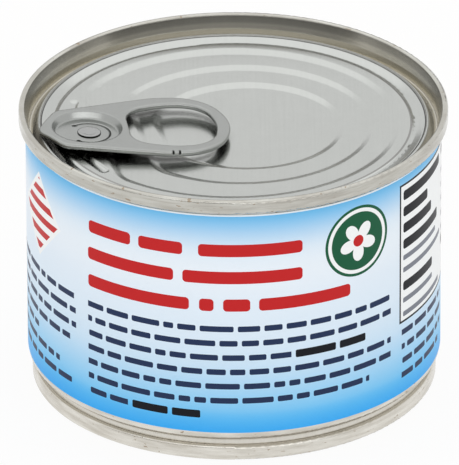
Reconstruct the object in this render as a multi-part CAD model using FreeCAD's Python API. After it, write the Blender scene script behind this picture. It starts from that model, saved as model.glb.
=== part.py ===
import FreeCAD, Part
import math
import os

# Low food can with an easy-open end: filled tin body, paper sleeve, stepped lid, ring-pull tab
# and bottom end. Millimetres. +Z is up, the can stands on z = 0 and its axis is the Z axis.

# Whole can
canHeight = 52.0           # over both seams
bodyRadius = 36.7          # outside of the tin wall
bodyWall = 0.18            # tinplate of the wall
endPlate = 0.2             # sheet of both ends
seatGap = 0.02             # between pieces that are rolled or wrapped together

# Top seam, and the wall that drops inside it to the groove round the panel
seamHeight = 2.6
seamStandout = 1.3         # seam beyond the body's wall
seamTopWidth = 0.95        # across the rounded top of the seam
seamEdgeRound = 0.42
chuckLean = 0.15           # how far the wall leans in below the seam
countersinkDepth = 4.1     # rim down to the bottom of the groove
countersinkWidth = 0.4
countersinkRound = 0.18

# Rim of the lid's panel, measured inwards from the groove and down from the top of the can
panelWallRun = 1.1
ridgeWidth = 0.35          # crest between the panel's wall and the score line
ridgeDepth = 2.7
scoreInset = 0.3           # crest to the score line
scoreDepth = 3.0
scoreLand = 0.16           # flat each side of the score line
scoreWidth = 0.12
scoreCut = 0.06
valleyInset = 1.8          # score line to the bottom of the ring bead
valleyDepth = 3.75
panelInset = 2.5           # score line to the edge of the flat panel
panelDepth = 3.4
flatRim = 0.6              # the flat panel outside the steps

# Steps pressed into the panel, outermost first: circles cut off by a straight side towards the rivet
stepDrop = 0.45
stepRun = 1.5              # width of the slope between two levels
stepCorner = 6.0           # round corner between a circle and its straight side
stepEase = 1.6             # radius that eases each slope into the flats
stepInsets = (2.5, 6.05, 6.4)          # each circle inside the last, the first inside the flat panel
stepShifts = (0.0, 1.45, 2.57)         # each circle's centre lies this far from the can's axis
stepSides = (2.2, 9.5, 13.1)           # rivet to each straight side

# Short stiffening groove on each side of the tab's nose
grooveInset = 2.3          # edge of the flat panel to the groove's middle
grooveWidth = 1.8
grooveDepth = 0.35
grooveLength = 8.0         # between the centres of its round ends
grooveAngle = 20.0         # degrees round from the rivet

# Rivet, drawn up from the lid, and the platform that it stands on
rivetAngle = 191.7         # place of the rivet round the can, degrees
rivetShank = 1.5
rivetHead = 2.1
rivetHeadHeight = 0.2
rivetDimple = 1.2
rivetDimpleDepth = 0.05
rivetBoss = 2.4
platformRadius = 3.7
platformRun = 0.8

# Ring-pull tab, in its own frame: rivet at the origin, +x towards the ring's end
tabYaw = 8.0               # direction of the tab's length, degrees
tabPitch = 2.6             # the ring's end hangs lower than the nose, degrees
tabLift = 0.82             # underside of the hem above the flat panel, at the rivet
hemThick = 1.1
hemRound = 0.48
noseReach = 8.9            # rivet to the tip of the nose
noseOverScore = 0.9        # tip beyond the score line
noseApex = 9.35             # rivet to where the nose's two sides would meet
noseRound = 2.6
noseDrop = 0.4             # the nose is bent down to the score line
noseBend = 7.0             # rivet to the bend
bendRound = 4.0
shoulderBack = 5.45
shoulderHalf = 6.85
shoulderRound = 3.0
waistAhead = 12.0
waistHalf = 10.95
waistRound = 12.0
ringCornerAhead = 22.0     # corners of the ring's end before they are rounded
ringCornerHalf = 11.1
ringCornerRound = 9.2
ringApex = 25.7
ringApexRound = 12.0

# Finger hole
holeBack = 7.0             # rivet to the side nearer to it
holeBackHalf = 6.2
holeBackRound = 4.6
holeSideAhead = 14.0
holeSideHalf = 8.35
holeSideRound = 12.0
holeEndAhead = 21.3
holeEndHalf = 7.9
holeEndRound = 6.0
holeApex = 22.9
holeApexRound = 12.0

# Sunken floor round the rivet, and the slit that leaves the rivet on a tongue of its own
dishRadius = 6.3           # at the top of the tab
dishFloor = 5.6
dishShift = -0.4
dishPlate = 0.28
dishDrop = 0.15            # top of the floor below the underside of the hem
slitRadius = 3.75
slitWidth = 0.26
slitEndRadius = 0.38
slitHalfAngle = 127.0      # degrees each side of the tab's length

# Two nicks where the tab was sheared from its carrier strip
nickAhead = 14.1
nickSpacing = 1.15
nickWidth = 0.34
nickDepth = 0.75
nickFoot = 0.5             # the nicks run from here up through the top of the hem

# Foot: the bottom seam fits inside the top seam of a can below it
stackGap = 1.0
footSeamHeight = 2.75
footSeamWidth = 1.05
neckInset = 0.75           # neck inside the bottom seam
neckHeight = 1.15
neckRound = 0.3
shoulderRun = 1.0          # height of the slope from the neck out to the body
shoulderEase = 0.6

# Bottom end, measured up from the ground and inwards from its seam
footChuckLean = 0.2
footCountersink = 3.5
footCountersinkWidth = 0.7
footWallRun = 0.7
footPanelDepth = 2.6
footStepInsets = (5.6, 7.0)            # each ring step inside the last, the first inside the wall
footStepDrop = 0.4
footStepRun = 1.6
footEase = 0.5

headspace = 1.2            # contents up to the underside of the lid

# Paper sleeve, wrapped once and glued where its ends overlap
labelAboveShoulder = 1.0
labelBelowSeam = 0.6
labelPaper = 0.12
labelOverlap = 11.0        # along the wrap
labelFeather = 2.0         # stretch in which the outer end lifts over the inner one
labelEdgeAngle = 82.0      # place of the free edge round the can, degrees

# Places that follow from the sizes above
seamFoot = canHeight - seamHeight
rimRadius = bodyRadius + seamStandout
chuckRadius = bodyRadius - bodyWall - seatGap - endPlate
grooveOuter = chuckRadius - chuckLean
grooveInner = grooveOuter - countersinkWidth
grooveFloor = canHeight - countersinkDepth
ridgeRadius = grooveInner - panelWallRun - ridgeWidth
scoreRadius = ridgeRadius - scoreInset
panelRadius = scoreRadius - panelInset
panelTop = canHeight - panelDepth
rivetRadius = scoreRadius + noseOverScore - noseReach
panelFoot = panelTop - stepDrop * len(stepInsets) - endPlate
floorTop = -dishDrop
floorFoot = floorTop - dishPlate
footSeamRadius = rimRadius - seamTopWidth - stackGap
neckRadius = footSeamRadius - neckInset
footChuckRadius = neckRadius - bodyWall - seatGap - endPlate
footPanelTop = footPanelDepth + footStepDrop * len(footStepInsets) + endPlate
shoulderTop = footSeamHeight + neckHeight + shoulderRun
origin = FreeCAD.Vector(0, 0, 0)
zAxis = FreeCAD.Vector(0, 0, 1)


def inPlan(u, v):
    return FreeCAD.Vector(u, v, 0)


def inSection(u, v):
    return FreeCAD.Vector(u, 0, v)


def cornerArc(before, corner, after, radius):
    """Start, middle and end of the arc that rounds a corner."""
    into = (corner - before).normalize()
    out = (after - corner).normalize()
    turn = into.getAngle(out)
    reach = radius * math.tan(turn / 2)
    inward = (out - into).normalize()
    middle = corner + inward * radius * (1 / math.cos(turn / 2) - 1)
    return corner - into * reach, middle, corner + out * reach


def roundedWire(corners, place):
    """Closed wire through (u, v, radius) corners; place turns (u, v) into a point."""
    points = [place(u, v) for u, v, radius in corners]
    arcs = []
    for index, (u, v, radius) in enumerate(corners):
        here = points[index]
        after = points[(index + 1) % len(points)]
        arcs.append(cornerArc(points[index - 1], here, after, radius) if radius > 0 else (here, None, here))
    edges = []
    for index, (start, middle, end) in enumerate(arcs):
        following = arcs[(index + 1) % len(arcs)][0]
        if middle is not None:
            edges.append(Part.Arc(start, middle, end).toShape())
        if end.distanceToPoint(following) > 1e-6:
            edges.append(Part.LineSegment(end, following).toShape())
    return Part.Wire(edges)


def revolved(corners):
    """Solid turned about the can's axis from (radius, height, round) corners."""
    return Part.Face(roundedWire(corners, inSection)).revolve(origin, zAxis, 360)


def prism(wire, low, high):
    """Upright solid over a plan wire, from one height to another."""
    face = Part.Face(wire)
    face.translate(inSection(0, low))
    return face.extrude(inSection(0, high - low))


def disc(radius, low, high, x=0.0):
    return Part.makeCylinder(radius, high - low, inSection(x, low))


def mirrored(side):
    """Mirror images of plan corners on one side of the tab's length, in the order back along it."""
    return [(x, -y, radius) for x, y, radius in reversed(side)]


def innerFace(path):
    """Corners of a sheet's inner face, parallel to its outer face and on the left of its path."""
    points = [inSection(u, v) for u, v, radius in path]
    runs = [(b - a).normalize() for a, b in zip(points, points[1:])]
    inner = []
    for index, (u, v, radius) in enumerate(path):
        into = runs[max(index - 1, 0)]
        out = runs[min(index, len(runs) - 1)]
        leftIn = inSection(-into.z, into.x)
        mitre = (leftIn + inSection(-out.z, out.x)).normalize()
        offset = points[index] + mitre * (endPlate / mitre.dot(leftIn))
        turnsLeft = into.x * out.z - into.z * out.x > 0
        innerRadius = max(radius - endPlate, endPlate / 4) if turnsLeft else radius + endPlate
        inner.append((offset.x, offset.z, innerRadius if radius > 0 else 0))
    return inner


def stepOutline(radius, shift, side, grow, height):
    """A step's circle with its straight side and round corners, grown outwards by grow."""
    cornerX = stepCorner - side
    cornerY = math.sqrt((radius - stepCorner) ** 2 - (cornerX - shift) ** 2)
    circle = radius + grow
    small = stepCorner + grow
    lean = math.atan2(cornerY, cornerX - shift)
    half = (lean + math.pi) / 2
    upper = [
        inPlan(shift + circle * math.cos(lean), circle * math.sin(lean)),
        inPlan(cornerX + small * math.cos(half), cornerY + small * math.sin(half)),
        inPlan(cornerX - small, cornerY),
    ]
    lower = [inPlan(point.x, -point.y) for point in upper]
    wire = Part.Wire([
        Part.Arc(lower[0], inPlan(shift + circle, 0), upper[0]).toShape(),
        Part.Arc(upper[0], upper[1], upper[2]).toShape(),
        Part.LineSegment(upper[2], lower[2]).toShape(),
        Part.Arc(lower[2], lower[1], lower[0]).toShape(),
    ])
    wire.translate(inSection(0, height))
    return wire


def grooveTool(turn):
    """Round-ended groove square to the can's radius, turned round the can from +X."""
    tube = ((grooveWidth / 2) ** 2 + grooveDepth ** 2) / (2 * grooveDepth)
    diagonal = tube * math.sqrt(0.5)
    half = grooveLength / 2
    side = Part.Wire([
        Part.Arc(inPlan(0, -half - tube), inPlan(diagonal, -half - diagonal), inPlan(tube, -half)).toShape(),
        Part.LineSegment(inPlan(tube, -half), inPlan(tube, half)).toShape(),
        Part.Arc(inPlan(tube, half), inPlan(diagonal, half + diagonal), inPlan(0, half + tube)).toShape(),
        Part.LineSegment(inPlan(0, half + tube), inPlan(0, -half - tube)).toShape(),
    ])
    tool = Part.Face(side).revolve(origin, inPlan(0, 1), 360)
    tool.translate(inSection(panelRadius - grooveInset, panelTop + tube - grooveDepth))
    tool.rotate(origin, zAxis, turn)
    return tool


def easedSteps(block, levels):
    """Rounds the edges of the slopes, which lie flat at the panel's levels."""
    edges = []
    for edge in block.Edges:
        box = edge.BoundBox
        atLevel = box.ZLength < 1e-4 and any(abs(box.ZMin - level) < 1e-4 for level in levels)
        if atLevel and box.XMax < panelRadius - flatRim:
            edges.append(edge)
    return block.makeFillet(stepEase, edges)


def pressedBlock(face, lowered):
    """All that lies under one face of the lid, with steps, grooves and platform; the rivet is on -X."""
    base = grooveFloor - panelDepth
    flat = panelTop - lowered
    block = revolved(face + [(0, flat, 0), (0, base, 0), (bodyRadius, base, 0), (bodyRadius, face[0][1], 0)])
    levels = [flat - stepDrop * count for count in range(len(stepInsets) + 1)]
    radius = panelRadius
    for inset, shift, side, level in zip(stepInsets, stepShifts, stepSides, levels):
        radius -= inset
        low = stepOutline(radius, shift, rivetRadius - side, -stepRun / 2, level - stepDrop)
        high = stepOutline(radius, shift, rivetRadius - side, stepRun / 2, level)
        block = block.cut(Part.makeLoft([low, high], True, True))
    block = easedSteps(block, levels)
    for turn in (180 - grooveAngle, 180 + grooveAngle):
        tool = grooveTool(turn)
        tool.translate(inSection(0, -lowered))
        block = block.cut(tool)
    foot = inSection(-rivetRadius, flat - stepDrop)
    return block.fuse(Part.makeCone(platformRadius + platformRun, platformRadius, stepDrop, foot))


def toTab(shape):
    """Moves a shape from the tab's own frame to its place on the can."""
    angle = math.radians(rivetAngle)
    shape.rotate(origin, inPlan(0, 1), tabPitch)
    shape.rotate(origin, zAxis, tabYaw)
    shape.translate(inPlan(rivetRadius * math.cos(angle), rivetRadius * math.sin(angle)))
    shape.translate(inSection(0, panelTop + tabLift))
    return shape


def rivet():
    """Boss, shank and flattened head, square to the tab."""
    headTop = floorTop + rivetHeadHeight
    head = disc(rivetHead, floorTop, headTop)
    rim = [edge for edge in head.Edges if edge.BoundBox.ZMin > headTop - 1e-4]
    head = head.makeFillet(rivetHeadHeight / 2, rim)
    dimple = Part.makeCone(rivetDimple - rivetDimpleDepth, rivetDimple, rivetDimpleDepth,
                           inSection(0, headTop - rivetDimpleDepth))
    boss = disc(rivetBoss, -tabLift - endPlate / 2, floorFoot)
    shank = disc(rivetShank, floorFoot, floorTop)
    return toTab(boss.fuse([shank, head]).cut(dimple))


def makeLid():
    """Easy-open end: seam, chuck wall, groove, score line, stepped panel and the rivet."""
    seam = revolved([
        (rimRadius, seamFoot, seamEdgeRound),
        (rimRadius, canHeight, seamEdgeRound),
        (rimRadius - seamTopWidth, canHeight, seamEdgeRound),
        (chuckRadius, seamFoot, 0),
    ])
    scored = canHeight - scoreDepth
    seamLean = (rimRadius - seamTopWidth - chuckRadius) / seamHeight
    face = [
        (chuckRadius + endPlate * seamLean, seamFoot + endPlate, 0),
        (chuckRadius, seamFoot, 0),
        (grooveOuter, grooveFloor, countersinkRound),
        (grooveInner, grooveFloor, countersinkRound),
        (ridgeRadius + ridgeWidth, canHeight - ridgeDepth - ridgeWidth / 2, 0.3),
        (ridgeRadius, canHeight - ridgeDepth, 0.1),
        (scoreRadius + scoreLand, scored, 0),
        (scoreRadius - scoreLand, scored, 0),
        (scoreRadius - valleyInset, canHeight - valleyDepth, 0.6),
        (panelRadius, panelTop, 0.4),
        (panelRadius - flatRim, panelTop, 0),
    ]
    score = revolved([
        (scoreRadius - scoreWidth / 2, scored + scoreCut, 0),
        (scoreRadius, scored - scoreCut, 0),
        (scoreRadius + scoreWidth / 2, scored + scoreCut, 0),
    ])
    sheet = pressedBlock(face, 0).cut(pressedBlock(innerFace(face), endPlate))
    sheet.rotate(origin, zAxis, rivetAngle - 180)
    return seam.fuse([sheet, rivet()]).cut(score)


def tabOutline():
    """Outer edge of the tab: nose, shoulders, flaring sides and the ring's blunt end."""
    side = [
        (-shoulderBack, shoulderHalf, shoulderRound),
        (waistAhead, waistHalf, waistRound),
        (ringCornerAhead, ringCornerHalf, ringCornerRound),
    ]
    nose = (-noseApex, 0, noseRound)
    ringEnd = (ringApex, 0, ringApexRound)
    return roundedWire([nose] + side + [ringEnd] + mirrored(side), inPlan)


def holeOutline():
    """Finger hole: straight across towards the rivet, crowned towards the ring's end."""
    side = [
        (holeBack, holeBackHalf, holeBackRound),
        (holeSideAhead, holeSideHalf, holeSideRound),
        (holeEndAhead, holeEndHalf, holeEndRound),
    ]
    return roundedWire(side + [(holeApex, 0, holeApexRound)] + mirrored(side), inPlan)


def tabSideView():
    """Slab as thick as the hem, flat with the nose bent down, wider than the tab."""
    reach = 2 * noseReach
    drop = noseDrop * (reach - noseBend) / (noseReach - noseBend)
    face = Part.Face(roundedWire([
        (-reach, -drop, 0),
        (-noseBend, 0, bendRound),
        (2 * ringApex, 0, 0),
        (2 * ringApex, hemThick, 0),
        (-noseBend, hemThick, bendRound),
        (-reach, hemThick - drop, 0),
    ], inSection))
    face.translate(inPlan(0, -2 * ringCornerHalf))
    return face.extrude(inPlan(0, 4 * ringCornerHalf))


def hemEdges(tab):
    """Upper and lower edges round the tab and its hole, without the bend lines across the nose."""
    edges = []
    for edge in tab.Edges:
        box = edge.BoundBox
        upright = box.XLength < 1e-3 and box.YLength < 1e-3
        bendLine = box.XLength < 1e-3 and box.XMax < 0
        if not upright and not bendLine:
            edges.append(edge)
    return edges


def slitTool():
    """Narrow C-shaped slit with a round hole at each end, open towards the nose."""
    low = 2 * floorFoot
    angle = math.radians(slitHalfAngle)
    reach = 2 * slitRadius
    across = reach * math.tan(math.pi - angle)
    mouth = [inPlan(0, 0), inPlan(-reach, across), inPlan(-reach, -across), inPlan(0, 0)]
    ring = disc(slitRadius + slitWidth / 2, low, hemThick)
    ring = ring.cut(disc(slitRadius - slitWidth / 2, low, hemThick))
    tool = ring.cut(prism(Part.makePolygon(mouth), low, hemThick))
    for side in (1, -1):
        end = disc(slitEndRadius, low, hemThick)
        end.translate(inPlan(slitRadius * math.cos(angle), side * slitRadius * math.sin(angle)))
        tool = tool.fuse(end)
    return tool


def makePullTab():
    """Hemmed ring tab with its finger hole, sunken floor, slit, rivet hole and carrier nicks."""
    tab = prism(tabOutline(), -hemThick, 2 * hemThick).common(tabSideView())
    tab = tab.cut(prism(holeOutline(), -hemThick, 2 * hemThick))
    tab = tab.makeFillet(hemRound, hemEdges(tab))
    bowl = Part.makeCone(dishFloor + dishPlate, dishFloor + 2 * dishPlate, 2 * dishPlate,
                         inSection(dishShift, floorFoot))
    dish = Part.makeCone(dishFloor, dishRadius, hemThick - floorTop, inSection(dishShift, floorTop))
    dish = dish.fuse(disc(dishRadius, hemThick, 2 * hemThick, dishShift))
    rivetHole = disc(rivetShank + seatGap, 2 * floorFoot, hemThick)
    tab = tab.fuse(bowl).cut(dish).cut(slitTool()).cut(rivetHole)
    flare = (ringCornerHalf - waistHalf) / (ringCornerAhead - waistAhead)
    edge = waistHalf + flare * (nickAhead - waistAhead)
    for offset in (-nickSpacing / 2, nickSpacing / 2):
        start = FreeCAD.Vector(nickAhead + offset - nickWidth / 2, -edge - nickDepth, nickFoot)
        tab = tab.cut(Part.makeBox(nickWidth, 2 * nickDepth, hemThick, start))
    return toTab(tab)


def makeCanBody():
    """Tin wall, necked in at the foot, with the contents as one solid inside it."""
    floor = max(footCountersink + endPlate, footPanelTop) + seatGap
    fill = panelFoot - headspace
    return revolved([
        (0, floor, 0),
        (neckRadius - bodyWall, floor, 0),
        (neckRadius - bodyWall, footSeamHeight, 0),
        (neckRadius, footSeamHeight, 0),
        (neckRadius, footSeamHeight + neckHeight, neckRound),
        (bodyRadius, shoulderTop, shoulderEase),
        (bodyRadius, seamFoot, 0),
        (bodyRadius - bodyWall, seamFoot, 0),
        (bodyRadius - bodyWall, fill, 0),
        (0, fill, 0),
    ])


def makeBaseEnd():
    """Bottom end: seam with the ring that the can stands on, chuck wall, groove and stepped panel."""
    seam = revolved([
        (footSeamRadius, footSeamHeight, seamEdgeRound),
        (footChuckRadius, footSeamHeight, 0),
        (footSeamRadius - footSeamWidth, 0, seamEdgeRound),
        (footSeamRadius, 0, seamEdgeRound),
    ])
    groove = footChuckRadius - footChuckLean
    wallFoot = groove - footCountersinkWidth - footWallRun
    level = footPanelDepth + footStepDrop * len(footStepInsets)
    radii = [wallFoot - sum(footStepInsets[:count + 1]) for count in range(len(footStepInsets))]
    path = [(0, level, 0)]
    for radius in reversed(radii):
        path.append((radius - footStepRun / 2, level, footEase))
        level -= footStepDrop
        path.append((radius + footStepRun / 2, level, footEase))
    path += [
        (wallFoot, footPanelDepth, footEase),
        (groove - footCountersinkWidth, footCountersink, footEase / 2),
        (groove, footCountersink, footEase / 2),
        (footChuckRadius, footSeamHeight, 0),
        (footChuckRadius, footSeamHeight - endPlate, 0),
    ]
    return seam.fuse(revolved(path + innerFace(path)[::-1]))


def makeLabel():
    """Paper sleeve round the body, its outer end glued over the inner end at the back."""
    low = shoulderTop + labelAboveShoulder
    high = seamFoot - labelBelowSeam
    inside = bodyRadius + seatGap
    outside = inside + labelPaper
    sleeve = disc(outside, low, high).cut(disc(inside, low, high))

    def around(radius, along):
        angle = along / outside
        return inPlan(radius * math.cos(angle), radius * math.sin(angle))

    lapped = outside + labelPaper
    start = -labelOverlap
    lifted = labelFeather - labelOverlap
    flap = Part.Wire([
        Part.Arc(around(inside, 0), around(inside, start / 2), around(inside, start)).toShape(),
        Part.LineSegment(around(inside, start), around(outside, start)).toShape(),
        Part.LineSegment(around(outside, start), around(lapped, lifted)).toShape(),
        Part.Arc(around(lapped, lifted), around(lapped, lifted / 2), around(lapped, 0)).toShape(),
        Part.LineSegment(around(lapped, 0), around(inside, 0)).toShape(),
    ])
    sleeve = sleeve.fuse(prism(flap, low, high))
    sleeve.rotate(origin, zAxis, labelEdgeAngle)
    return sleeve


nodes = {
    "can_body": makeCanBody,
    "label": makeLabel,
    "lid": makeLid,
    "pull_tab": makePullTab,
    "base_end": makeBaseEnd,
}

os.makedirs("parts", exist_ok=True)
for name, make in nodes.items():
    shape = make()
    if shape.ShapeType == "Compound" and len(shape.Solids) == 1:
        shape = shape.Solids[0]
    shape = shape.removeSplitter()
    print(name, "solids", len(shape.Solids), "valid", shape.isValid(), "volume %.1f" % shape.Volume)
    shape.exportStep(os.path.join("parts", name + ".step"))
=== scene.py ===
import math

import bpy
from mathutils import Matrix, Vector

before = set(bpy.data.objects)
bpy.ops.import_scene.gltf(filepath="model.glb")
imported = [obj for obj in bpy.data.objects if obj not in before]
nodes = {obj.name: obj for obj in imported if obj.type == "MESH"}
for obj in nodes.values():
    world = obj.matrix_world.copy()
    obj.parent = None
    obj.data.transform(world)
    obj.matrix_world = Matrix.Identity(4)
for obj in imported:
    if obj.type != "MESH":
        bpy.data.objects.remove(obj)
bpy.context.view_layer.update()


class Wire:
    # one output socket, or None for a bare tree; maths on it adds Math nodes
    def __init__(self, tree, socket=None):
        self.tree = tree
        self.socket = socket

    # a node's type, its settings, then the values or links of its sockets
    def node(self, kind, settings, values, output=0):
        made = self.tree.nodes.new("ShaderNode" + kind)
        for name, setting in settings.items():
            if name == "stops":
                ramp = made.color_ramp
                while len(ramp.elements) < len(setting):
                    ramp.elements.new(1.0)
                for element, (place, colour) in zip(ramp.elements, setting):
                    element.position = place
                    element.color = colour
            elif name == "ramp":
                made.color_ramp.interpolation = setting
            else:
                setattr(made, name, setting)
        for name, value in values.items():
            if isinstance(value, Wire):
                self.tree.links.new(value.socket, made.inputs[name])
            else:
                made.inputs[name].default_value = value
        return Wire(self.tree, made.outputs[output])

    # another output of the same node
    def beside(self, name):
        return Wire(self.tree, self.socket.node.outputs[name])

    def maths(self, operation, *others):
        return self.node("Math", {"operation": operation}, dict(enumerate((self, *others))))

    def __add__(self, other):
        return self.maths("ADD", other)

    def __mul__(self, other):
        return self.maths("MULTIPLY", other)

    def __sub__(self, other):
        return self.maths("SUBTRACT", other)

    def __rsub__(self, other):
        return self.node("Math", {"operation": "SUBTRACT"}, {0: other, 1: self})

    def __truediv__(self, other):
        return self.maths("DIVIDE", other)

    def __lt__(self, other):
        return self.maths("LESS_THAN", other)

    def __gt__(self, other):
        return self.maths("GREATER_THAN", other)

    def __abs__(self):
        return self.maths("ABSOLUTE")


def linear(seen):
    # a colour as it is seen, 0-255, for a shader, by the usual screen curve
    bright = []
    for value in seen:
        share = value / 255
        bright.append(share / 12.92 if share < 0.0404 else ((share + 0.055) / 1.055) ** 2.4)
    return (*bright, 1.0)


def newMaterial(name):
    material = bpy.data.materials.new(name)
    material.use_nodes = True
    shader = material.node_tree.nodes["Principled BSDF"]
    place = Wire(material.node_tree).node("TexCoord", {}, {}, "Object")
    return material, shader, place


def feed(shader, name, value):
    if isinstance(value, Wire):
        value.tree.links.new(value.socket, shader.inputs[name])
    else:
        shader.inputs[name].default_value = value


def mixed(mask, under, over):
    # colour under, with colour over laid on it where mask is 1; sockets 6, 7 and 2 are the colour ones
    return mask.node("Mix", {"data_type": "RGBA"}, {0: mask, 6: under, 7: over}, 2)


def noise(vector, scale, detail, roughness=0.5):
    sockets = {"Vector": vector, "Scale": scale, "Detail": detail, "Roughness": roughness}
    return vector.node("TexNoise", {}, sockets)


def parted(vector):
    x = vector.node("SeparateXYZ", {}, {"Vector": vector}, "X")
    return x, x.beside("Y"), x.beside("Z")


def distance(x, y):
    return (x * x + y * y).maths("SQRT")


def wear(node, material):
    materials = nodes[node].data.materials
    materials.clear()
    materials.append(material)


# the worn outer face of a rolled seam
seamLook = {
    "sheet": (201, 200, 193),
    "dull": (178, 175, 167),
    "fleck": (150, 130, 106),
    # scale round the seam, scale up it to a metre, and detail
    "streaks": (5.0, 1100.0, 4.0),
    "streakFrom": 0.35,
    "streakTo": 0.68,
    "flecks": (26.0, 2100.0, 2.0),
    "fleckLimit": 0.69,
    "fleckShare": 0.7,
}
# soft tarnish in all the rolled sheet
tarnish = {"share": 0.55, "scale": 240.0, "detail": 4.0, "roughness": 0.65}
raySamples = 8              # for eased edges and the painted shade in gaps


def wornSeam(place, look):
    # the seam's colour, and the streaks in it
    x, y, z = parted(place)
    radius = distance(x, y)
    across, along = x / radius, y / radius

    def ringNoise(roundScale, highScale, detail):
        sockets = {"X": across * roundScale, "Y": along * roundScale, "Z": z * highScale}
        return noise(place.node("CombineXYZ", {}, sockets), 1.0, detail)

    streak = ringNoise(*look["streaks"])
    limits = {"Value": streak, "From Min": look["streakFrom"], "From Max": look["streakTo"]}
    colour = mixed(place.node("MapRange", {}, limits), linear(look["sheet"]), linear(look["dull"]))
    fleck = ringNoise(*look["flecks"]) > look["fleckLimit"]
    return mixed(fleck * look["fleckShare"], colour, linear(look["fleck"])), streak


def rolledSheet(place, look):
    # the sheet's colour, and the rolling grain in it
    scale = (look["grainAcross"], look["grainAlong"], look["grainAlong"])
    grain = noise(place.node("Mapping", {}, {"Vector": place, "Scale": scale}), 1.0, 3.0)
    cloud = noise(place, tarnish["scale"], tarnish["detail"], tarnish["roughness"])
    tone = grain * (1 - tarnish["share"]) + cloud * tarnish["share"]
    return mixed(tone, linear(look["sheet"]), linear(look["dull"])), grain


def paintedShade(place, look):
    # painted shade where a neighbour is close, from the ambient occlusion: 0 in the open, 1 deep in a gap
    sky = place.node("AmbientOcclusion", {"samples": raySamples}, {"Distance": look["shadeReach"]}, "AO")
    limits = {"Value": sky, "From Min": look["shadeFrom"], "From Max": look["shadeTo"]}
    return sky.node("MapRange", {"interpolation_type": "SMOOTHSTEP"}, limits)


def finishMetal(shader, colour, relief, look):
    # roughness drifts with the relief, and the bump starts from eased edges
    strength, height = look["bump"]
    eased = relief.node("Bevel", {"samples": raySamples}, {"Radius": look["soften"]})
    sockets = {"Height": relief, "Strength": strength, "Distance": height, "Normal": eased}
    feed(shader, "Base Color", colour)
    feed(shader, "Metallic", 1.0)
    feed(shader, "Roughness", (relief - 0.5) * look["drift"] + look["roughness"])
    feed(shader, "Normal", relief.node("Bump", {}, sockets))


lidLook = {
    "sheet": (194, 196, 193),
    "dull": (183, 185, 182),
    "roughness": 0.19,
    "drift": 0.08,
    "grainAcross": 2600.0,      # the rolling grain runs along Y
    "grainAlong": 40.0,
    "bump": (0.05, 0.00002),    # strength, and height in metres
    "soften": 0.0004,
    "wallRadius": 0.0351,       # the wall inside the seam, with painted reflections and shade by height
    "wallFoot": 0.0475,
    "wallHeight": 0.0045,
    "wall": [(0.05, (184, 180, 169)), (0.25, (220, 216, 204)), (0.4, (208, 204, 193)),
             (0.5, (184, 181, 171)), (0.6, (186, 183, 174)), (0.7, (158, 156, 149)),
             (0.84, (152, 150, 143)), (1.0, (118, 116, 110))],
    # painted shade lines at the score line, edge of the flat panel, ridge and slope to the wall: radius,
    # half the width and colour
    "lines": [(0.034, 0.00009, (40, 39, 37)), (0.03148, 0.00018, (148, 148, 145)),
              (0.03422, 0.0001, (152, 152, 148)), (0.0351, 0.00045, (162, 160, 152))],
    "seamRadius": 0.037,
    "rivetAt": (-0.02546, -0.00527),
    "rivetRadius": 0.00212,
    "rivet": (167, 168, 167),
    "rivetLine": 0.00013,       # half the width of the painted shade line round the rivet's head
    # how far off a neighbour still lays painted shade on the sheet, and between which shares of open sky
    "shadeReach": 0.0042,
    "shadeFrom": 0.58,
    "shadeTo": 0.3,
    "paintedShade": (34, 33, 30),
    "tabAt": (-0.015, -0.0038, 0.048),
    "tabReach": 0.0205,         # painted shade on the lid only near the tab
}


# the lid's tones by place: painted reflections and shade on the wall, painted shade lines, the seam's wear,
# the rivet's tone and a painted shade line round it
def tonesAndPaintedLight(place, colour, look):
    x, y, z = parted(place)
    radius = distance(x, y)
    # painted reflections and shade on the wall inside the seam, by height
    stops = [(at, linear(tone)) for at, tone in look["wall"]]
    wall = z.node("ValToRGB", {"stops": stops}, {"Fac": (z - look["wallFoot"]) / look["wallHeight"]})
    colour = mixed(radius > look["wallRadius"], colour, wall)
    # painted shade lines at the score line, panel edge, ridge and slope to the wall
    for middle, half, tone in look["lines"]:
        colour = mixed(abs(radius - middle) < half, colour, linear(tone))
    colour = mixed(radius > look["seamRadius"], colour, wornSeam(place, seamLook)[0])
    rivetX, rivetY = look["rivetAt"]
    fromRivet = distance(x - rivetX, y - rivetY)
    colour = mixed(fromRivet < look["rivetRadius"], colour, linear(look["rivet"]))
    # a painted shade line round the rivet's head, in the painted shade colour
    rivetShadeLine = abs(fromRivet - look["rivetRadius"]) < look["rivetLine"]
    return mixed(rivetShadeLine, colour, linear(look["paintedShade"]))


def makeLidSheet(look):
    material, shader, place = newMaterial("lidSheet")
    colour, grain = rolledSheet(place, look)
    colour = tonesAndPaintedLight(place, colour, look)
    # painted shade from the ambient occlusion, laid on the lid only near the tab
    fromTab = place.node("VectorMath", {"operation": "DISTANCE"}, {0: place, 1: look["tabAt"]}, "Value")
    gloom = paintedShade(place, look) * (fromTab < look["tabReach"])
    finishMetal(shader, mixed(gloom, colour, linear(look["paintedShade"])), grain, look)
    return material


wear("lid", makeLidSheet(lidLook))
print("lid finished")

tabLook = {
    "sheet": (167, 169, 167),
    "dull": (155, 157, 154),
    "roughness": 0.24,
    "drift": 0.08,
    "grainAcross": 500.0,
    "grainAlong": 60.0,
    "bump": (0.02, 0.00002),
    "soften": 0.0005,
    # painted shade in the tab's gaps and under its hems, from the ambient occlusion
    "shadeReach": 0.002,
    "shadeFrom": 0.5,
    "shadeTo": 0.1,
    "paintedShade": (40, 39, 37),
}


def makeTabSheet(look):
    material, shader, place = newMaterial("tabSheet")
    colour, grain = rolledSheet(place, look)
    # painted shade where a neighbour is close
    colour = mixed(paintedShade(place, look), colour, linear(look["paintedShade"]))
    finishMetal(shader, colour, grain, look)
    return material


wear("pull_tab", makeTabSheet(tabLook))
print("pull tab finished")

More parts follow.
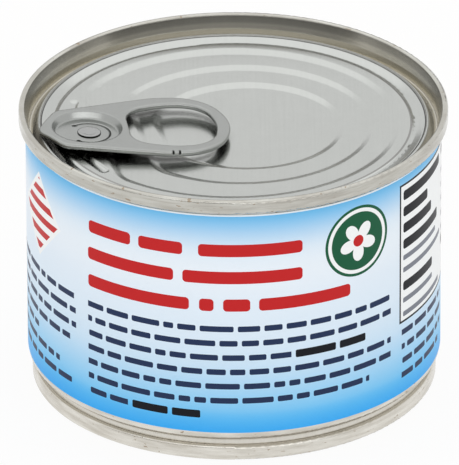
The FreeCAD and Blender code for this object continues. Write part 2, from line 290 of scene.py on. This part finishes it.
# the body's foot and the bottom end: worn as a seam outside, plain rolled sheet within the seam
footLook = {
    **seamLook,
    "sheet": (224, 221, 213),
    "dull": (200, 195, 185),
    "roughness": 0.24,
    "drift": 0.12,
    "creaseShadeLines": [(0.00392, 0.00014), (0.0029, 0.00011)],     # heights and half widths of the painted shade lines in the creases
    "creaseShade": (74, 69, 60),
    "seamInside": 0.0359,
    "grainAcross": 2600.0,
    "grainAlong": 40.0,
    "bump": (0.05, 0.00005),
    "soften": 0.0004,
}


def makeTinplate(look):
    material, shader, place = newMaterial("tinplate")
    x, y, height = parted(place)
    outside = distance(x, y) > look["seamInside"]
    seam, streak = wornSeam(place, look)
    # painted shade lines in the foot's creases
    for middle, half in look["creaseShadeLines"]:
        seam = mixed(abs(height - middle) < half, seam, linear(look["creaseShade"]))
    sheet, grain = rolledSheet(place, look)
    relief = outside * streak + (1.0 - outside) * grain
    finishMetal(shader, mixed(outside, sheet, seam), relief, look)
    return material


tinplate = makeTinplate(footLook)
wear("can_body", tinplate)
wear("base_end", tinplate)
print("body and bottom end finished")

# sizes of the print are in millimetres, and angles in degrees from the front
labelLook = {
    "radius": 36.84,
    "low": 5.9,
    "high": 48.8,
    "roughness": 0.36,
    "gloss": 0.12,
    "fibre": (900.0, 3.0),      # scale and detail
    "bump": (0.06, 0.0001),
    "edge": (232, 239, 246),
    "edgeWidth": 0.3,
    # sky-blue at both edges, nearly white between, drifting up and down by a share of the height
    "field": [(0.0, (56, 168, 241)), (0.1, (124, 196, 241)), (0.3, (197, 222, 242)), (0.6, (222, 233, 244)),
              (0.83, (216, 230, 243)), (1.0, (98, 183, 234))],
    "driftScale": 26.0,
    "drift": 0.03,
    "inks": {
        "red": (190, 36, 38),
        "navy": (36, 50, 82),
        "black": (20, 22, 28),
        "grey": (120, 124, 134),
        "white": (238, 240, 241),
        "green": (26, 88, 60),
    },
}
inks = {name: linear(seen) for name, seen in labelLook["inks"].items()}
perDegree = labelLook["radius"] * math.pi / 180     # millimetres round the label

# every bar: first and last angle, lowest and highest height
headingBars = [
    (-43.6, -29.5, 40.6, 43.0), (-27.0, -14.2, 40.6, 43.0), (-9.8, 19.0, 40.6, 43.0),
    (-44.0, -16.8, 35.3, 37.7), (-14.2, 19.0, 35.3, 37.7),
    (-44.0, -12.4, 29.9, 32.3), (-9.6, -5.6, 29.9, 32.3), (-3.0, 4.4, 29.9, 32.3), (6.8, 33.6, 29.9, 32.3),
]
backBars = [
    (-174.0, -139.0, 40.6, 43.0), (-135.5, -102.0, 40.6, 43.0),
    (-174.0, -151.0, 35.3, 37.7), (-147.5, -102.0, 35.3, 37.7),
    (-174.0, -126.0, 29.9, 32.3),
]
factBars = [
    (54.0, 80.0, 43.8, 45.7), (54.0, 68.0, 40.6, 42.5), (54.0, 71.0, 37.4, 39.3), (54.0, 77.0, 34.2, 36.1),
    (54.0, 72.0, 26.0, 27.8), (84.0, 104.0, 43.8, 45.7), (84.0, 98.0, 26.0, 27.8),
]
factRules = [
    (54.0, 75.0, 32.0, 33.0), (54.0, 81.0, 29.6, 30.6), (54.0, 72.0, 23.6, 24.6), (54.0, 79.0, 20.9, 21.9),
]
# heavier words in the small rows
boldBars = [
    (17.0, 29.0, 20.0, 21.5), (30.2, 38.8, 20.0, 21.5), (-29.2, -18.6, 8.7, 10.2), (-17.4, -9.4, 8.7, 10.2),
]
cornerRadius = {"heading": 0.7, "fact": 0.5, "rule": 0.25, "bold": 0.3, "frame": 0.02}
# every block of small rows: left angle, height of its first row, the rows' right ends
smallRows = [
    {"left": -44.2, "top": 26.4, "ends": [48.5, 48.5, 15.8, 48.5, 48.5, 40.2, -30.6], "ink": "navy"},
    {"left": -92.0, "top": 26.4, "ends": [-49.9, -49.2, -49.1, -51.8, -69.5, -56.9, -51.2], "ink": "navy"},
    {"left": 53.4, "top": 17.9, "ends": [83.0, 83.0, 83.0, 79.0], "ink": "navy"},
    {"left": 84.5, "top": 40.6, "ends": [112.0, 108.0, 115.0, 115.0, 104.0], "ink": "grey"},
    {"left": 126.0, "top": 43.4, "ends": [168.0, 165.0, 168.0, 168.0, 150.0, 168.0, 166.0, 142.0],
     "ink": "navy"},
    {"left": -174.0, "top": 23.6, "ends": [-102.0, -106.0, -101.0, -103.0, -124.0], "ink": "navy"},
]
# shift gives each row its own stretch of the word pattern
rowLook = {"pitch": 2.83, "height": 1.12, "word": 4.6, "gap": 0.36, "round": 0.3, "shift": 37.7}
panelFrame = {"left": 52.3, "right": 119.0, "low": 19.8, "high": 47.1, "line": 0.4}
# notch is how near the middle the petals part, as a share of a petal
badge = {"angle": 36.3, "height": 40.1, "outer": 6.8, "band": 0.55, "gap": 0.7, "petals": 5, "petal": 3.9,
         "turned": 0.8, "notch": 0.45, "eye": 1.1}
pennant = {"angle": -68.5, "height": 37.6, "half": 8.2, "border": 1.0, "stripe": 2.7}


def roundedBar(sideways, upwards, halfWidth, halfHeight, radius):
    # from the distances off its middle
    pastSide = (sideways - (halfWidth - radius)).maths("MAXIMUM", 0.0)
    pastTop = (upwards - (halfHeight - radius)).maths("MAXIMUM", 0.0)
    return pastSide * pastSide + pastTop * pastTop < radius * radius


def barMask(along, height, bar, radius):
    left, right, low, high = bar
    sideways = abs(along - (left + right) / 2)
    upwards = abs(height - (low + high) / 2)
    return roundedBar(sideways, upwards, (right - left) / 2, (high - low) / 2, radius)


def printBars(colour, along, height, bars, ink, radius):
    for left, right, low, high in bars:
        mask = barMask(along, height, (left * perDegree, right * perDegree, low, high), radius)
        colour = mixed(mask, colour, inks[ink])
    return colour


def printRows(colour, along, height, block):
    # rows of word-long bars: the row's number picks its right end and its own words
    count = len(block["ends"])
    left = block["left"] * perDegree
    lengths = [(end - block["left"]) * perDegree for end in block["ends"]]
    longest = max(lengths)
    rows = (block["top"] - height) / rowLook["pitch"]
    row = rows.maths("ROUND")
    stops = [(index / count, (length / longest,) * 4) for index, length in enumerate(lengths)]
    share = row.node("ValToRGB", {"ramp": "CONSTANT", "stops": stops}, {"Fac": (row + 0.5) / count})
    reach = share * longest
    # how far each place is from the nearest gap between two words
    settings = {"voronoi_dimensions": "1D", "feature": "DISTANCE_TO_EDGE"}
    sockets = {"W": (along - left) / rowLook["word"] + row * rowLook["shift"], "Scale": 1.0}
    fromGap = along.node("TexVoronoi", settings, sockets, "Distance") * rowLook["word"]
    upwards = abs(rows - row) * rowLook["pitch"]
    mask = roundedBar(rowLook["gap"] - fromGap, upwards, 0.0, rowLook["height"] / 2, rowLook["round"])
    mask = mask * (along > left) * (along - left < reach) * (row > -0.5) * (row < count - 0.5)
    return mixed(mask, colour, inks[block["ink"]])


def printPanel(colour, along, height):
    left, right = panelFrame["left"] * perDegree, panelFrame["right"] * perDegree
    low, high, line = panelFrame["low"], panelFrame["high"], panelFrame["line"]
    outer = barMask(along, height, (left, right, low, high), cornerRadius["frame"])
    within = (left + line, right - line, low + line, high - line)
    inner = barMask(along, height, within, cornerRadius["frame"])
    return mixed(inner, mixed(outer, colour, inks["black"]), inks["white"])


def printBadge(colour, along, height):
    # a ring round a disc with a white flower on it
    sideways = along - badge["angle"] * perDegree
    upwards = height - badge["height"]
    fromMiddle = distance(sideways, upwards)
    turn = upwards.maths("ARCTAN2", sideways)
    petals = abs((turn * (badge["petals"] / 2) + badge["turned"]).maths("COSINE"))
    flower = (petals * (1 - badge["notch"]) + badge["notch"]) * badge["petal"]
    inner = badge["outer"] - badge["band"]
    for edge, ink in ((badge["outer"], "green"), (inner, "white"), (inner - badge["gap"], "green"),
                      (flower, "white"), (badge["eye"], "red")):
        colour = mixed(fromMiddle < edge, colour, inks[ink])
    return colour


def printPennant(colour, along, height):
    # a striped square set on its corner
    upwards = height - pennant["height"]
    spread = abs(along - pennant["angle"] * perDegree) + abs(upwards)
    stripes = (upwards / pennant["stripe"]).maths("FRACT") > 0.5
    colour = mixed(spread < pennant["half"], colour, inks["white"])
    return mixed((spread < pennant["half"] - pennant["border"]) * stripes, colour, inks["red"])


def makeLabelPaper(look):
    material, shader, place = newMaterial("labelPaper")
    x, y, z = parted(place)
    height = z * 1000.0
    along = x.maths("ARCTAN2", y * -1.0) * look["radius"]
    up = (height - look["low"]) / (look["high"] - look["low"])
    drift = noise(place, look["driftScale"], 1.0) - 0.5
    field = {"ramp": "CARDINAL", "stops": [(at, linear(seen)) for at, seen in look["field"]]}
    colour = place.node("ValToRGB", field, {"Fac": up + drift * look["drift"]})
    colour = printPanel(colour, along, height)
    colour = printBars(colour, along, height, factBars, "black", cornerRadius["fact"])
    colour = printBars(colour, along, height, factRules, "grey", cornerRadius["rule"])
    colour = printBars(colour, along, height, headingBars + backBars, "red", cornerRadius["heading"])
    for block in smallRows:
        colour = printRows(colour, along, height, block)
    colour = printBars(colour, along, height, boldBars, "black", cornerRadius["bold"])
    colour = printBadge(colour, along, height)
    colour = printPennant(colour, along, height)
    colour = mixed(height > look["high"] - look["edgeWidth"], colour, linear(look["edge"]))
    feed(shader, "Base Color", colour)
    feed(shader, "Roughness", look["roughness"])
    feed(shader, "Specular IOR Level", look["gloss"])
    fibre = noise(place, *look["fibre"])
    strength, depth = look["bump"]
    sockets = {"Height": fibre, "Strength": strength, "Distance": depth}
    feed(shader, "Normal", fibre.node("Bump", {}, sockets))
    return material


wear("label", makeLabelPaper(labelLook))
print("label finished")

roomLook = {
    "floor": (232, 231, 228),
    "floorRoughness": 0.7,
    "floorReach": 1.6,
    "floorWhite": 0.92,         # how much of the floor, seen or mirrored, is plain white
    "light": 1.0,               # the same from everywhere
}
# low grey cards behind the can and before it, seen only in the metal; side and front are shares of reach
cardLook = {
    "colour": (138, 138, 136),
    "roughness": 0.9,
    "reach": 1.2,
    "behind": 0.3,
    "before": 0.3,
    "side": 0.24,
    "front": -0.3,
}


def makeFloor(look):
    bpy.ops.mesh.primitive_circle_add(vertices=96, radius=look["floorReach"], fill_type="NGON",
                                      location=(0, 0, 0))
    floor = bpy.context.active_object
    floor.name = "floor"
    material, shader, place = newMaterial("paleFloor")
    feed(shader, "Base Color", linear(look["floor"]))
    feed(shader, "Roughness", look["floorRoughness"])
    rays = place.node("LightPath", {}, {}, "Is Camera Ray")
    mirrored = rays.beside("Is Glossy Ray")
    through = rays.beside("Is Transmission Ray")
    seen = (rays + mirrored + through).maths("MINIMUM", 1.0)
    white = place.node("Emission", {}, {"Color": (1, 1, 1, 1), "Strength": 1.0})
    surface = Wire(place.tree, shader.outputs["BSDF"])
    both = place.node("MixShader", {}, {0: seen * look["floorWhite"], 1: surface, 2: white})
    # open from beneath, so that the underside can be seen
    beneath = place.node("NewGeometry", {}, {}, "Backfacing")
    clear = place.node("BsdfTransparent", {}, {})
    shown = place.node("MixShader", {}, {0: beneath, 1: both, 2: clear})
    output = place.tree.nodes["Material Output"]
    place.tree.links.new(shown.socket, output.inputs["Surface"])
    floor.data.materials.append(material)


def makeCards(look):
    material, shader = newMaterial("greyCard")[:2]
    feed(shader, "Base Color", linear(look["colour"]))
    feed(shader, "Roughness", look["roughness"])
    side, front = look["side"] * look["reach"], look["front"] * look["reach"]
    for name in ("behind", "before"):
        bpy.ops.object.select_all(action="DESELECT")
        bpy.ops.mesh.primitive_cylinder_add(vertices=96, radius=look["reach"], depth=look[name],
                                            end_fill_type="NOTHING", location=(0, 0, look[name] / 2))
        card = bpy.context.active_object
        card.name = name
        bpy.ops.object.transform_apply(location=True, rotation=True, scale=True)
        bpy.ops.object.mode_set(mode="EDIT")
        bpy.ops.mesh.select_mode(type="FACE")
        bpy.ops.mesh.select_all(action="DESELECT")
        bpy.ops.object.mode_set(mode="OBJECT")
        for face in card.data.polygons:
            x, y = face.center.xy
            face.select = y > front if name == "before" else y < 0 or abs(x) > side
        bpy.ops.object.mode_set(mode="EDIT")
        bpy.ops.mesh.delete(type="FACE")
        bpy.ops.object.mode_set(mode="OBJECT")
        card.data.materials.append(material)
        card.visible_camera = False
        card.visible_diffuse = False
        card.visible_shadow = False


def lightRoom(look):
    world = bpy.data.worlds.new("studio")
    bpy.context.scene.world = world
    world.use_nodes = True
    background = world.node_tree.nodes["Background"]
    background.inputs["Color"].default_value = (1, 1, 1, 1)
    background.inputs["Strength"].default_value = look["light"]


softboxAim = (0, 0, 0.03)
softboxes = {
    "above": {"at": (0.05, 0.5, 1.3), "size": (1.9, 1.4), "bright": 0.3},
    "front": {"at": (0.05, -1.45, 0.94), "size": (3.6, 0.36), "bright": 1.2},
}


def hangSoftboxes():
    for name, box in softboxes.items():
        lamp = bpy.data.lights.new(name, "AREA")
        lamp.shape = "RECTANGLE"
        lamp.size, lamp.size_y = box["size"]
        lamp.energy = box["bright"] * math.pi * lamp.size * lamp.size_y
        holder = bpy.data.objects.new(name, lamp)
        bpy.context.scene.collection.objects.link(holder)
        holder.location = box["at"]
        holder.rotation_euler = (Vector(softboxAim) - Vector(box["at"])).to_track_quat("-Z", "Y").to_euler()


cameraLook = {
    "lens": 870.43,
    "sensor": 36.0,
    "away": 2.0,
    "far": 20.0,
    "elevation": 26.982,
    "roll": -0.2235,
    "aim": (-0.00076, 0.0, 0.026697),
}


def placeCamera(look):
    camera = bpy.data.cameras.new("camera")
    camera.lens = look["lens"]
    camera.sensor_width = look["sensor"]
    camera.clip_end = look["far"]
    holder = bpy.data.objects.new("camera", camera)
    bpy.context.scene.collection.objects.link(holder)
    tilt = Matrix.Rotation(math.radians(90 - look["elevation"]), 4, "X")
    roll = Matrix.Rotation(math.radians(look["roll"]), 4, "Z")
    turned = tilt @ roll
    back = turned.to_3x3() @ Vector((0, 0, look["away"]))
    holder.matrix_world = Matrix.Translation(Vector(look["aim"]) + back) @ turned
    bpy.context.scene.camera = holder


makeFloor(roomLook)
makeCards(cardLook)
lightRoom(roomLook)
hangSoftboxes()
placeCamera(cameraLook)
bpy.context.scene.view_settings.view_transform = "Standard"
print("room, lights and camera placed")
